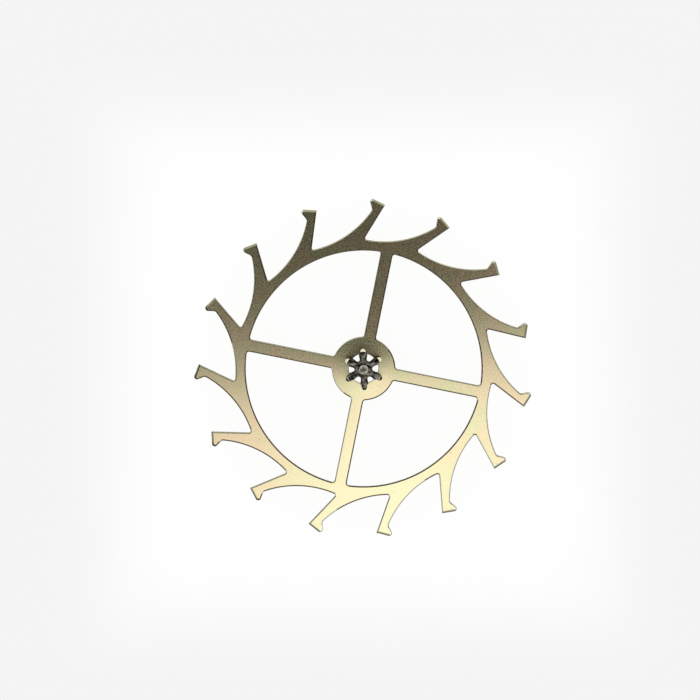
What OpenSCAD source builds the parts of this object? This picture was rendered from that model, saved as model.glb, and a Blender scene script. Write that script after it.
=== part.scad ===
// Escape wheel and pinion of a lever watch, in millimetres.
// +Z runs up the arbor, z = 0 is the end of the lower pivot, and the first arm lies along +X.
// The teeth lean clockwise seen from above, which is the way the wheel turns.

/* [Wheel blank] */
// Diameter over the heels of the teeth
wheel_d = 8; // [6.6:0.1:9.6]
// Thickness of the blank
wheel_t = 0.22; // [0.16:0.01:0.3]
// Width of the rim between the bottom of a gullet and the windows
rim_w = 0.24; // [0.18:0.01:0.32]
// Diameter of the hub
hub_d = 1.5; // [1.24:0.02:1.8]
// Number of arms
arm_count = 4; // [3:1:5]
// Width of an arm
arm_w = 0.29; // [0.2:0.01:0.36]
// Fillet where an arm meets the hub and the rim
arm_fillet = 0.06; // [0.03:0.01:0.1]

/* [Club teeth] */
// Number of teeth
tooth_count = 15; // [12:1:16]
// Depth from the heel circle to the bottom of a gullet
tooth_depth = 0.98; // [0.8:0.02:1.18]
// Depth of the locking corner below the heel circle
toe_drop = 0.11; // [0.08:0.01:0.14]
// Undercut of the locking face from the radius, in degrees
lock_angle = 24; // [20:1:28]
// Slope of the impulse face from the tangent, in degrees
impulse_angle = 19; // [15:1:22]
// Radius of the rounded heel
heel_round = 0.065; // [0.05:0.005:0.08]
// Flare of the back of the heel from the radius, in degrees
heel_flare = 23.5; // [18:0.5:28]
// Depth of the neck below the heel circle
neck_depth = 0.25; // [0.2:0.01:0.3]
// Radius of the scooped back of a tooth
back_r = 2.32; // [1.9:0.02:2.8]
// Fillet at the foot of a locking face
root_fillet = 0.045; // [0.03:0.005:0.06]
// Bevel along an impulse face, on the upper side
impulse_bevel = 0.035; // [0.02:0.005:0.05]
// Angle from the first arm clockwise to the nearest locking corner, in degrees
tooth_turn = 2.1; // [0:0.1:6]

/* [Pinion leaves] */
// Number of leaves
leaf_count = 6; // [6:1:8]
// Diameter of the pitch circle
pitch_d = 0.75; // [0.66:0.01:0.9]
// Thickness of a leaf at the pitch circle
leaf_w = 0.131; // [0.11:0.001:0.15]
// Height of a leaf above the pitch circle
leaf_addendum = 0.1125; // [0.09:0.0025:0.13]
// Diameter of the circle that the round bottoms of the gaps reach down to
root_d = 0.35; // [0.32:0.01:0.4]
// Length of the leaves above the wheel
leaf_len = 0.85; // [0.7:0.05:1.2]
// Chamfer turned on the upper ends of the leaves
leaf_chamfer = 0.045; // [0.02:0.005:0.06]
// Angle from the first arm to a leaf, anticlockwise, in degrees
leaf_turn = 43.6; // [0:0.1:60]

/* [Arbor and pivots] */
// Diameter of the arbor at the upper pivot's shoulder
upper_arbor_d = 0.23; // [0.18:0.01:0.28]
// Length of the arbor above the leaves
upper_arbor_len = 0.26; // [0.15:0.01:0.6]
// Diameter of the arbor at the lower pivot's shoulder
lower_arbor_d = 0.27; // [0.2:0.01:0.28]
// Length of the arbor under the wheel
lower_arbor_len = 0.42; // [0.2:0.01:0.8]
// Taper of the arbor towards its shoulders, from the axis, in degrees
arbor_taper = 2; // [0.5:0.5:3]
// Diameter of both pivots
pivot_d = 0.106; // [0.08:0.002:0.14]
// Length of a pivot
pivot_len = 0.22; // [0.15:0.01:0.3]
// Cone at the shoulder of a pivot
shoulder_cone = 0.03; // [0.01:0.005:0.035]
// Rounding at the edge of a pivot's end
pivot_round = 0.018; // [0.01:0.002:0.03]

/* [Riveted seat] */
// Diameter of the bore in the hub, which the turned-down leaves fill
bore_d = 0.7; // [0.6:0.01:0.8]
// Radial clearance of the leaves in the bore, closed by riveting
seat_gap = 0; // [0:0.001:0.003]
// Countersink under the hub that the riveted leaf ends fill
rivet_sink = 0.05; // [0.03:0.005:0.07]
// Height that the riveted ends stand below the hub
rivet_stand = 0.015; // [0.005:0.005:0.03]

/* [Hidden] */
$fn = 96;
ORIGIN = [0, 0];
// How far a cutter or a joined piece runs past the face that it meets
over = 0.02;
// How far a straight edge runs inside a round that it would touch, so that the outlines cross
bite = 0.0004;
// How far the foot of a tooth runs on into the tooth behind it, in degrees
tooth_lap = 3;
// How far the back of a heel runs on into the tooth past the neck
heel_sink = 0.04;
// Slope of the bevel along an impulse face, in degrees
bevel_slope = 45;

// Levels up the arbor
wheel_z = pivot_len + lower_arbor_len;
wheel_top_z = wheel_z + wheel_t;
leaf_top_z = wheel_top_z + leaf_len;
rivet_z = wheel_z - rivet_stand;

// Circles of the wheel
heel_r = wheel_d / 2;
toe_r = heel_r - toe_drop;
neck_r = heel_r - neck_depth;
root_r = heel_r - tooth_depth;
window_r = root_r - rim_w;
rim_mid_r = root_r - rim_w / 2;
hub_r = hub_d / 2;
bore_r = bore_d / 2;
tooth_pitch = 360 / tooth_count;

// Circles of the pinion
pitch_r = pitch_d / 2;
tip_r = pitch_r + leaf_addendum;
seat_r = bore_r - seat_gap;

// Angle of a flank from the middle of its leaf, and from the middle of the gap beside it
leaf_half = asin(leaf_w / 2 / pitch_r);
gap_half = 180 / leaf_count - leaf_half;
// The round bottom of a gap touches both flanks and the root circle
gap_c_r = root_d / 2 / (1 - sin(gap_half));
gap_r = gap_c_r * sin(gap_half);

function polar(r, a) = [r * cos(a), r * sin(a)];
function turned(p, a) = [p[0] * cos(a) - p[1] * sin(a), p[0] * sin(a) + p[1] * cos(a)];
function angle_of(p) = atan2(p[1], p[0]);

// Distance from p along the unit vector d to the circle of radius r about c.
// side is -1 for the first crossing and 1 for the second.
function reach(p, d, c, r, side) =
    let (q = p - c, along = q * d)
    side * sqrt(along * along - q * q + r * r) - along;

// One tooth stands with its locking corner, the toe, on +X, and its back faces +Y.
toe = [toe_r, 0];
lock_in = [-cos(lock_angle), sin(lock_angle)];
impulse_out = [sin(impulse_angle), cos(impulse_angle)];
impulse_normal = [cos(impulse_angle), -sin(impulse_angle)];
heel_out = [cos(heel_flare), sin(heel_flare)];
heel_normal = [-sin(heel_flare), cos(heel_flare)];

// The heel is a small circle that touches the impulse face and the heel circle.
heel_start = toe - heel_round * impulse_normal;
heel_c = heel_start + reach(heel_start, impulse_out, ORIGIN, heel_r - heel_round, 1) * impulse_out;
heel_top = heel_c + (heel_round - bite) * impulse_normal;
heel_back = heel_c + (heel_round - bite) * heel_normal;
neck = heel_back - reach(heel_back, -heel_out, ORIGIN, neck_r, -1) * heel_out;
heel_foot = neck - heel_sink * heel_out;

// The scooped back runs through the neck and touches the root circle.
scoop_c_r = root_r + back_r;
scoop_lag = acos((scoop_c_r * scoop_c_r + neck_r * neck_r - back_r * back_r) / (2 * scoop_c_r * neck_r));
scoop_c = polar(scoop_c_r, angle_of(neck) + scoop_lag);
scoop_ahead_c = turned(scoop_c, -tooth_pitch);

// The foot of the locking face is where it runs into the gullet ahead of the tooth.
foot = toe + reach(toe, lock_in, scoop_ahead_c, back_r, 1) * lock_in;
lock_normal = [-sin(lock_angle), -cos(lock_angle)];

// The centre of the round in the corner at the foot.
fillet_gap = root_fillet - bite;
fillet_start = toe + fillet_gap * lock_normal;
fillet_c = fillet_start + reach(fillet_start, lock_in, scoop_ahead_c, back_r - fillet_gap, 1) * lock_in;

// The curved triangle that fills the corner between two edges, given the centre of its round,
// the unit vectors from there to both edges, and a point inside the material behind the corner.
// The points go anticlockwise.
module corner_fill(c, r, to_a, to_b, behind) {
    difference() {
        polygon([c, c + (r + over) * to_a, behind, c + (r + over) * to_b]);
        translate(c) circle(r);
    }
}

module root_round() {
    to_scoop = fillet_c - scoop_ahead_c;
    corner_fill(fillet_c, root_fillet, -lock_normal, to_scoop / norm(to_scoop),
        foot * (1 - over / root_r) + [0, over]);
}

// A club tooth: straight locking face, raised impulse face, rounded heel and scooped back.
module tooth() {
    foot_angle = angle_of(foot);
    lap_angle = foot_angle + tooth_pitch + tooth_lap;
    lap_r = norm(foot) + over;
    difference() {
        polygon([polar(rim_mid_r, foot_angle), foot, toe, heel_c, polar(lap_r, lap_angle),
            polar(rim_mid_r, lap_angle)]);
        translate(scoop_c) circle(back_r);
    }
    polygon([toe, heel_top, heel_c, heel_back, heel_foot]);
    translate(heel_c) circle(heel_round);
    root_round();
}

module toothed_rim() {
    difference() {
        union() {
            circle(root_r - over);
            for (i = [0 : tooth_count - 1]) rotate(i * tooth_pitch - tooth_turn) tooth();
        }
        circle(window_r);
    }
}

// One side of an arm's ends: the rounds into the hub and into the rim.
module arm_rounds() {
    side_y = arm_w / 2;
    gap = arm_fillet - bite;
    centre_y = side_y + gap;
    hub_c = [sqrt(pow(hub_r + gap, 2) - centre_y * centre_y), centre_y];
    rim_c = [sqrt(pow(window_r - gap, 2) - centre_y * centre_y), centre_y];
    down = [0, -1];
    corner_fill(hub_c, arm_fillet, -hub_c / norm(hub_c), down, [hub_r - over, side_y - over]);
    corner_fill(rim_c, arm_fillet, down, rim_c / norm(rim_c), [window_r + over, side_y - over]);
}

module arm() {
    translate([0, -arm_w / 2]) square([rim_mid_r, arm_w]);
    arm_rounds();
    mirror([0, 1]) arm_rounds();
}

module wheel_outline() {
    toothed_rim();
    circle(hub_r);
    for (i = [0 : arm_count - 1]) rotate(i * 360 / arm_count) arm();
}

// A block whose lower edge bevels one impulse face along its upper side.
module bevel_block() {
    block = wheel_t;
    edge_len = norm(heel_top - toe) + heel_round;
    translate([toe_r, 0, wheel_top_z])
        rotate(-impulse_angle)
            translate([-impulse_bevel, -block, 0])
                rotate([0, bevel_slope, 0])
                    translate([-block, 0, 0])
                        cube([2 * block, edge_len + block, block]);
}

module escape_wheel() {
    color("#c8b888")
        difference() {
            translate([0, 0, wheel_z]) linear_extrude(wheel_t) wheel_outline();
            translate([0, 0, wheel_z - over]) cylinder(h = wheel_t + 2 * over, r = bore_r);
            translate([0, 0, wheel_z - over])
                cylinder(h = rivet_sink + over, r1 = bore_r + rivet_sink + over, r2 = bore_r);
            for (i = [0 : tooth_count - 1]) rotate(i * tooth_pitch - tooth_turn) bevel_block();
        }
}

// A leaf with radial flanks and an elliptical tip, which runs on from the flanks at the pitch circle.
module leaf() {
    shoulder = polar(pitch_r, leaf_half);
    rise = tip_r - shoulder[0];
    centre_rise = rise * rise / (shoulder[0] + 2 * rise);
    tip_len = rise - centre_rise;
    tip_half_w = tip_len * sqrt(shoulder[1] * tan(leaf_half) / centre_rise);
    flank_end = shoulder + bite * [sin(leaf_half), -cos(leaf_half)];
    polygon([ORIGIN, [flank_end[0], -flank_end[1]], flank_end]);
    translate([shoulder[0] + centre_rise, 0]) scale([tip_len, tip_half_w]) circle(1);
}

// The middle that holds the leaves together, with the round bottoms of the gaps cut into it.
module leaf_root() {
    difference() {
        circle(gap_c_r * cos(gap_half));
        for (i = [0 : leaf_count - 1])
            rotate((i + 0.5) * 360 / leaf_count + leaf_turn) translate([gap_c_r, 0]) circle(gap_r + bite);
    }
}

module leaf_pattern() {
    leaf_root();
    for (i = [0 : leaf_count - 1]) rotate(i * 360 / leaf_count + leaf_turn) leaf();
}

// Half section of the turned blank that the leaves are cut from: rivet, seat, step and chamfer.
module leaf_blank() {
    blank_r = tip_r + over;
    rotate_extrude()
        polygon([
            [0, rivet_z],
            [seat_r + rivet_sink - rivet_stand, rivet_z],
            [seat_r + rivet_sink, wheel_z],
            [seat_r, wheel_z + rivet_sink],
            [seat_r, wheel_top_z],
            [blank_r, wheel_top_z],
            [blank_r, leaf_top_z - leaf_chamfer - over],
            [tip_r - leaf_chamfer, leaf_top_z],
            [0, leaf_top_z],
        ]);
}

// A tapered arbor stretch with its shoulder cone and pivot, standing on z = 0 and pointing up.
module arbor_end(arbor_d, arbor_len) {
    arbor_r = arbor_d / 2;
    foot_r = arbor_r + (arbor_len - shoulder_cone) * tan(arbor_taper);
    pivot_r = pivot_d / 2;
    top = arbor_len + pivot_len;
    rotate_extrude() {
        polygon([
            [0, 0],
            [foot_r, 0],
            [arbor_r, arbor_len - shoulder_cone],
            [arbor_r - shoulder_cone, arbor_len],
            [pivot_r, arbor_len],
            [pivot_r, top - pivot_round],
            [pivot_r - pivot_round, top],
            [0, top],
        ]);
        translate([pivot_r - pivot_round, top - pivot_round]) circle(pivot_round);
    }
}

module escape_pinion() {
    color("#62646a") {
        intersection() {
            translate([0, 0, rivet_z]) linear_extrude(leaf_top_z - rivet_z) leaf_pattern();
            leaf_blank();
        }
        translate([0, 0, leaf_top_z - over]) arbor_end(upper_arbor_d, upper_arbor_len + over);
        translate([0, 0, wheel_z + over]) mirror([0, 0, 1])
            arbor_end(lower_arbor_d, lower_arbor_len + over);
    }
}

escape_wheel();
escape_pinion();
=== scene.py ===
"""Watch escape wheel riveted on its pinion: the finished pieces, the studio and the camera.

Shapes are worked out in millimetres and turned into metres where a mesh or a light is made.
+Z runs up the arbor, z = 0 is the end of the lower pivot, and the first arm lies along +X.
A point of a flat outline is a complex number, x + y i, so turning it is a multiplication.
"""
import cmath
import logging
import math
import random
from dataclasses import dataclass, replace
from enum import Enum
from functools import lru_cache
from typing import Iterable, Sequence

import bpy
from mathutils import Matrix, Vector
from mathutils.geometry import delaunay_2d_cdt


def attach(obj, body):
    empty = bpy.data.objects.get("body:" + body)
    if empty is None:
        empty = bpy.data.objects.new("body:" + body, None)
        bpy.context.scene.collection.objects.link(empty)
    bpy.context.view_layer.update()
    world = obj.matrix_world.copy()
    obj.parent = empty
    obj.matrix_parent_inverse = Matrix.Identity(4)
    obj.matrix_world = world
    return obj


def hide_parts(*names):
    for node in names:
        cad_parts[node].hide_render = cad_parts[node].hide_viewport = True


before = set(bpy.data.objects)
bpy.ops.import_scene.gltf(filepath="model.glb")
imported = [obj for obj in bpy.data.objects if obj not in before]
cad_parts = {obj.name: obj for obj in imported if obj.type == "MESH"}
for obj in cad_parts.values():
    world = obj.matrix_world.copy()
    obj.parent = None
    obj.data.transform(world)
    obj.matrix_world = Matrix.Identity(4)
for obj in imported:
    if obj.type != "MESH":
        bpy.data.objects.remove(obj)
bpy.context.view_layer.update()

log = logging.getLogger("escape_wheel")

# A ring is a radius and a height, and a corner the number, normal and wear value of a point
Point = tuple[float, float, float]
Colour = tuple[float, float, float]
Span = tuple[float, float]
Ring = tuple[float, float]
Corner = tuple[int, Point, float]
Socket = bpy.types.NodeSocket

MM = 0.001
WHITE = (1.0, 1.0, 1.0)
WARM_WHITE = (1.0, 0.97, 0.9)

# Points that agree to so many digits are one, and normals this close make a corner straight
SAME_POINT_DIGITS = 6
FILL_TOLERANCE = 1e-7
STRAIGHT_ON = 0.9995

# How far the middle of a rounded edge lies in from its corner, as a share of its radius
ROUND_MIDDLE = 0.3

# Wear values of flat faces and of edges. The second marks edges that the gilding darkens with
# painted shade, and the fourth heels that it lightens with a painted highlight.
FLAT = 0.0
SHADED_EDGE = 0.25
EASED = 0.5
POLISHED_HIGHLIGHT = 0.75
BEVELLED = 1.0

# Wear values at which the gilding's tones start and are full: painted shade on edges, eased edges,
# a painted highlight on the heels, and bevels
SHADED_EDGE_SPAN = (0.05, 0.2)
EASED_SPAN = (0.3, 0.45)
POLISHED_HIGHLIGHT_SPAN = (0.55, 0.7)
BEVEL_SPAN = (0.85, 0.95)


def direction(degrees: float) -> complex:
    """Unit vector at an angle from +X."""
    return cmath.rect(1.0, math.radians(degrees))


def across(a: complex, b: complex) -> float:
    """Dot product of two plane vectors."""
    return (a.conjugate() * b).real


def clockwise_to(angle: float, start: float) -> float:
    """The angle, less or plus whole turns, so that it is the next one below start."""
    return start - (start - angle) % math.tau


def quarter_turn(steps: int) -> list[float]:
    """Angles from nothing to a quarter turn in equal steps, in radians."""
    return [math.pi / 2 * k / steps for k in range(steps + 1)]


def reach(start: complex, way: complex, centre: complex, radius: float, side: int) -> float:
    """Distance along a line to a circle.

    Args:
        start: Where the line starts.
        way: Unit vector of the line.
        centre: Centre of the circle.
        radius: Radius of the circle.
        side: -1 for the first crossing, 1 for the second.

    Returns:
        The distance from start, in the outline's own units.
    """
    gap = start - centre
    along = across(gap, way)
    return side * math.sqrt(along * along - abs(gap) ** 2 + radius * radius) - along


def lifted(out: complex, tilt: float) -> Point:
    """A unit vector over a plane direction, tilted up from the horizontal."""
    return (out.real * math.cos(tilt), out.imag * math.cos(tilt), math.sin(tilt))


# Outlines


@dataclass(frozen=True)
class Mark:
    """One point of an outline, as the stretch that it belongs to sees it.

    at is the point, out the unit vector that leaves the metal there. fall is how far the point
    lies behind the bevelled face, and bevel_out is that face's own normal, on stretches with one.
    ease is how many times wider than usual the upper edge is rounded, and wear how it is finished
    and whether the gilding paints shade or a highlight on it.
    """

    at: complex
    out: complex
    bevel_out: complex | None = None
    fall: float = 0.0
    ease: float = 1.0
    wear: float = EASED

    def turned(self, turn: complex) -> "Mark":
        """The mark after a turn about the axis."""
        bevel_out = None if self.bevel_out is None else self.bevel_out * turn
        return replace(self, at=self.at * turn, out=self.out * turn, bevel_out=bevel_out)


Stretch = list[Mark]


def straight(start: complex, end: complex, pieces: int = 1) -> Stretch:
    """A straight stretch with the metal on its left.

    Args:
        start: First point.
        end: Last point.
        pieces: How many equal parts it is cut into.

    Returns:
        The marks from start to end.
    """
    out = -1j * (end - start) / abs(end - start)
    return [Mark(start + (end - start) * k / pieces, out) for k in range(pieces + 1)]


def arc(centre: complex, radius: float, first: float, last: float, pieces: int) -> Stretch:
    """A circular stretch with the metal on its left.

    Args:
        centre: Centre of the circle.
        radius: Its radius.
        first: Angle where it starts, in radians.
        last: Angle where it ends; below first, it runs clockwise and is hollow.
        pieces: How many equal parts it is cut into.

    Returns:
        The marks from first to last.
    """
    bulge = 1 if last > first else -1
    spokes = [cmath.rect(1.0, first + (last - first) * k / pieces) for k in range(pieces + 1)]
    return [Mark(centre + radius * s, bulge * s) for s in spokes]


def hollow(centre: complex, radius: float, first: float, last: float, pieces: int) -> Stretch:
    """A clockwise arc, whatever whole turns its angles hold.

    Args:
        centre: Centre of the circle.
        radius: Its radius.
        first: Angle where it starts, in radians.
        last: Angle where it ends.
        pieces: How many equal parts it is cut into.

    Returns:
        The marks from first to last.
    """
    return arc(centre, radius, first, clockwise_to(last, first), pieces)


@dataclass(frozen=True)
class ShadedSide:
    """Which edges keep their eased tone and which get dark painted shade: the lit side, and how far
    round it reaches.

    way is that side's direction in degrees. least is the least share of it that an edge's own
    direction has where the edge still keeps its eased tone; the other edges get painted shade.
    """

    way: float
    least: float

    def over(self, stretch: Stretch, turn: complex) -> Stretch:
        """A stretch after a turn, with painted shade on the edges that face away from the lit side.

        Args:
            stretch: The stretch before the turn.
            turn: Unit number of the turn.

        Returns:
            The turned marks.
        """
        made = [mark.turned(turn) for mark in stretch]
        way = direction(self.way)
        return [replace(m, wear=SHADED_EDGE) if across(m.out, way) < self.least else m for m in made]


@dataclass(frozen=True)
class EdgeForm:
    """How the upper and lower edges of a sheet are eased, and how deep its bevels are.

    Lengths are in millimetres and the tilts of the domed bevel's normal in degrees. widest is the
    largest ease of a mark, and bevel_ends the least share of the bevelled face's direction that a
    mark's own direction has where the bevel still cuts it.
    """

    bottom: float
    top: float
    upper_round: float
    lower_round: float
    bevel: float = 0.0
    widest: float = 1.0
    upper_steps: int = 6
    lower_steps: int = 3
    bevel_ends: float = 0.3
    bevel_foot_tilt: float = 52.0
    bevel_top_tilt: float = 68.0

    def heights(self) -> list[float]:
        """Works out the heights of the wall's rings.

        Returns:
            The heights, from the lower face to the upper one.
        """
        turns = quarter_turn(self.lower_steps)
        made = [self.bottom + self.lower_round * (1 - math.cos(t)) for t in turns]
        widest = self.upper_round * self.widest
        if self.bevel > widest:
            made.append(self.top - self.bevel)
        turns = quarter_turn(self.upper_steps)
        return made + [self.top - widest * (1 - math.sin(t)) for t in turns]

    def round_at(self, mark: Mark, z: float) -> tuple[float, float]:
        """The rounded edge at a mark and a height.

        Args:
            mark: The point of the outline.
            z: The height.

        Returns:
            How far the outline draws in, and the tilt of the surface's normal in radians.
        """
        above, below = self.top - z, z - self.bottom
        upper = self.upper_round * mark.ease
        if above < upper:
            tilt = math.asin(min(1.0, (upper - above) / upper))
            return upper * (1 - math.cos(tilt)), tilt
        if below < self.lower_round:
            tilt = math.asin(min(1.0, (self.lower_round - below) / self.lower_round))
            return self.lower_round * (1 - math.cos(tilt)), -tilt
        return 0.0, 0.0

    def dome(self, z: float) -> float:
        """Tilt of the slightly domed bevel's normal.

        Args:
            z: The height.

        Returns:
            The tilt in radians.
        """
        up = min(1.0, max(0.0, 1 - (self.top - z) / self.bevel))
        foot, top = self.bevel_foot_tilt, self.bevel_top_tilt
        return math.radians(foot + (top - foot) * up)

    def bevel_at(self, mark: Mark, z: float) -> float:
        """How far the 45 degree bevel cuts in at a mark and a height, or -1 where it doesn't.

        Args:
            mark: The point of the outline.
            z: The height.

        Returns:
            The inset along the mark's own normal.
        """
        if mark.bevel_out is None:
            return -1.0
        lean = across(mark.bevel_out, mark.out)
        if lean < self.bevel_ends:
            return -1.0
        return (self.bevel - (self.top - z) - mark.fall) / lean

    def inset_at(self, mark: Mark, z: float) -> tuple[float, bool]:
        """How far the outline draws in at a mark and a height.

        Args:
            mark: The point of the outline.
            z: The height.

        Returns:
            The inset, and whether it is the bevel's.
        """
        bevel, eased = self.bevel_at(mark, z), self.round_at(mark, z)[0]
        bevelled = z > self.bottom + self.bevel and bevel > eased
        return (bevel, True) if bevelled else (eased, False)

    def corner(self, point: int, mark: Mark, here: float, above: float) -> Corner:
        """Dresses a corner of the wall.

        Args:
            point: Number of its point.
            mark: Its mark of the outline.
            here: Its height.
            above: Height of the upper end of its face.

        Returns:
            The point's number, the normal and the wear value.
        """
        if self.inset_at(mark, above)[1]:
            return (point, lifted(mark.bevel_out, self.dome(here)), BEVELLED)
        tilt = self.round_at(mark, here)[1]
        worn = tilt or self.round_at(mark, above)[1]
        return (point, lifted(mark.out, tilt), mark.wear if worn else FLAT)


# Meshes


def mesh_of(name: str, points: Iterable[Sequence[float]], faces: Sequence) -> bpy.types.Mesh:
    """A mesh of points that are given in millimetres.

    Args:
        name: Its name.
        points: The points.
        faces: Point numbers of each face.

    Returns:
        The mesh.
    """
    mesh = bpy.data.meshes.new(name)
    mesh.from_pydata([tuple(c * MM for c in p) for p in points], [], faces)
    return mesh


def linked(name: str, data: bpy.types.ID) -> bpy.types.Object:
    """Puts an object into the scene.

    Args:
        name: Its name.
        data: Its mesh, light or camera.

    Returns:
        The object.
    """
    made = bpy.data.objects.new(name, data)
    bpy.context.scene.collection.objects.link(made)
    return made


def inside(place: Vector, points: Sequence[Vector], edges: Sequence[tuple[int, int]]) -> bool:
    """Whether a place lies inside loops of edges, by counting the edges to its right.

    Args:
        place: The place.
        points: All points.
        edges: Pairs of point numbers.

    Returns:
        True for an odd count.
    """
    count = 0
    for a, b in edges:
        p, q = points[a], points[b]
        if (p.y > place.y) != (q.y > place.y):
            count += place.x < p.x + (place.y - p.y) * (q.x - p.x) / (q.y - p.y)
    return count % 2 == 1


class Skin:
    """Gathers faces in millimetres, with a normal and a wear value for each corner."""

    def __init__(self) -> None:
        """Starts with no faces."""
        self.places: dict[Point, int] = {}
        self.points: list[Point] = []
        self.faces: list[list[int]] = []
        self.normals: list[Point] = []
        self.worn: list[float] = []

    def point(self, at: complex, z: float) -> int:
        """Finds or adds a point. Points that coincide are one.

        Args:
            at: Its place in the plane.
            z: Its height.

        Returns:
            The number of the point.
        """
        place = tuple(round(c, SAME_POINT_DIGITS) + 0.0 for c in (at.real, at.imag, z))
        if place not in self.places:
            self.places[place] = len(self.points)
            self.points.append(place)
        return self.places[place]

    def face(self, corners: Sequence[Corner]) -> None:
        """Adds a face, without the corners that coincide, unless fewer than three are left.

        Args:
            corners: Point number, normal and wear of each corner, anticlockwise from outside.
        """
        kept = [c for k, c in enumerate(corners) if c[0] != corners[k - 1][0]]
        if len({c[0] for c in kept}) < 3:
            return
        self.faces.append([c[0] for c in kept])
        self.normals.extend(c[1] for c in kept)
        self.worn.extend(c[2] for c in kept)

    def flat(self, loops: Iterable[Sequence[int]], up: bool) -> None:
        """Fills the area between level loops of points.

        Args:
            loops: The outer loop and the loops of the holes.
            up: True for a face that looks up.
        """
        numbers: list[int] = []
        edges: list[tuple[int, int]] = []
        for loop in loops:
            clean = [p for k, p in enumerate(loop) if p != loop[k - 1]]
            first = len(numbers)
            numbers.extend(clean)
            edges.extend((first + k, first + (k + 1) % len(clean)) for k in range(len(clean)))
        places = [Vector(self.points[n][:2]) for n in numbers]
        found, _, triangles, source, _, _ = delaunay_2d_cdt(places, edges, [], 0, FILL_TOLERANCE)
        normal = (0.0, 0.0, 1.0 if up else -1.0)
        for triangle in triangles:
            a, b, c = (found[k] for k in triangle)
            if not inside((a + b + c) / 3, places, edges):
                continue
            corners = [(numbers[source[k][0]], normal, FLAT) for k in triangle]
            anticlockwise = (b - a).cross(c - a) > 0
            self.face(corners if anticlockwise == up else corners[::-1])

    def sheet_sides(self, outline: Sequence[Stretch],
                    form: EdgeForm) -> tuple[list[int], list[int]]:
        """Builds the wall of a sheet along a closed outline, with its eased and bevelled edges.

        Args:
            outline: The stretches, end to end, with the metal on the left.
            form: The sheet's edges.

        Returns:
            The points of the lower loop and of the upper loop.
        """
        spans = [(s[k], s[k + 1]) for s in outline for k in range(len(s) - 1)]
        heights = form.heights()
        rings: list[list[int]] = []
        for z in heights:
            ring = []
            for k, (start, _) in enumerate(spans):
                before = spans[k - 1][1]
                insets = form.inset_at(before, z)[0], form.inset_at(start, z)[0]
                ring.append(self.point(before.at - drawn_in(before.out, start.out, *insets), z))
            rings.append(ring)
        for low, high, low_ring, high_ring in zip(heights, heights[1:], rings, rings[1:]):
            for k, (start, end) in enumerate(spans):
                after = (k + 1) % len(spans)
                self.face([
                    form.corner(low_ring[k], start, low, high),
                    form.corner(low_ring[after], end, low, high),
                    form.corner(high_ring[after], end, high, high),
                    form.corner(high_ring[k], start, high, high),
                ])
        return rings[0], rings[-1]

    def turned_surface(self, profile: Sequence[Ring], smooth: Sequence[bool],
                       count: int) -> list[list[int]]:
        """Builds a surface turned about the axis.

        Args:
            profile: Its rings, with the metal on the left of the line.
            smooth: For each ring, whether the surface runs on smoothly there.
            count: How many parts each ring is cut into.

        Returns:
            The point numbers of each ring.
        """
        spokes = [cmath.rect(1.0, math.tau * k / count) for k in range(count)]
        rings = [[self.point(s * r, z) for s in spokes] for r, z in profile]
        slopes = []
        for (r0, z0), (r1, z1) in zip(profile, profile[1:]):
            slopes.append(math.atan2(-(r1 - r0), z1 - z0))
        for k, slope in enumerate(slopes):
            low = (slope + slopes[k - 1]) / 2 if smooth[k] and k else slope
            high = (slope + slopes[k + 1]) / 2 if smooth[k + 1] and k + 1 < len(slopes) else slope
            for j, s in enumerate(spokes):
                n = (j + 1) % count
                self.face([
                    (rings[k][j], lifted(s, low), FLAT),
                    (rings[k][n], lifted(spokes[n], low), FLAT),
                    (rings[k + 1][n], lifted(spokes[n], high), FLAT),
                    (rings[k + 1][j], lifted(s, high), FLAT),
                ])
        return rings

    def piece(self, name: str, material: bpy.types.Material) -> bpy.types.Object:
        """Makes the Blender object, in metres.

        Args:
            name: The object's name.
            material: Its finish.

        Returns:
            The object, linked to the scene.
        """
        mesh = mesh_of(name, self.points, self.faces)
        mesh.shade_smooth()
        mesh.attributes.new("edge_wear_and_painted_light", "FLOAT", "CORNER").data.foreach_set("value", self.worn)
        mesh.normals_split_custom_set(self.normals)
        mesh.materials.append(material)
        return linked(name, mesh)


def drawn_in(before: complex, after: complex, inset_before: float, inset_after: float) -> complex:
    """The way from a corner of an outline drawn in to the same corner of the outline itself.

    Args:
        before: Outward normal of the stretch that ends at the corner.
        after: Outward normal of the stretch that starts there.
        inset_before: How far the first stretch is drawn in.
        inset_after: How far the second one is.

    Returns:
        A vector whose parts along both normals are the two insets.
    """
    between = across(before, after)
    if between > STRAIGHT_ON:
        return (before + after) / abs(before + after) * (inset_before + inset_after) / 2
    first = before * (inset_before - between * inset_after)
    second = after * (inset_after - between * inset_before)
    return (first + second) / (1 - between * between)


# Ways to wire finishes


class Ray(Enum):
    """Kinds of ray that see a surface as the camera does."""

    CAMERA = "Is Camera Ray"
    GLOSSY = "Is Glossy Ray"
    TRANSMISSION = "Is Transmission Ray"


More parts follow.
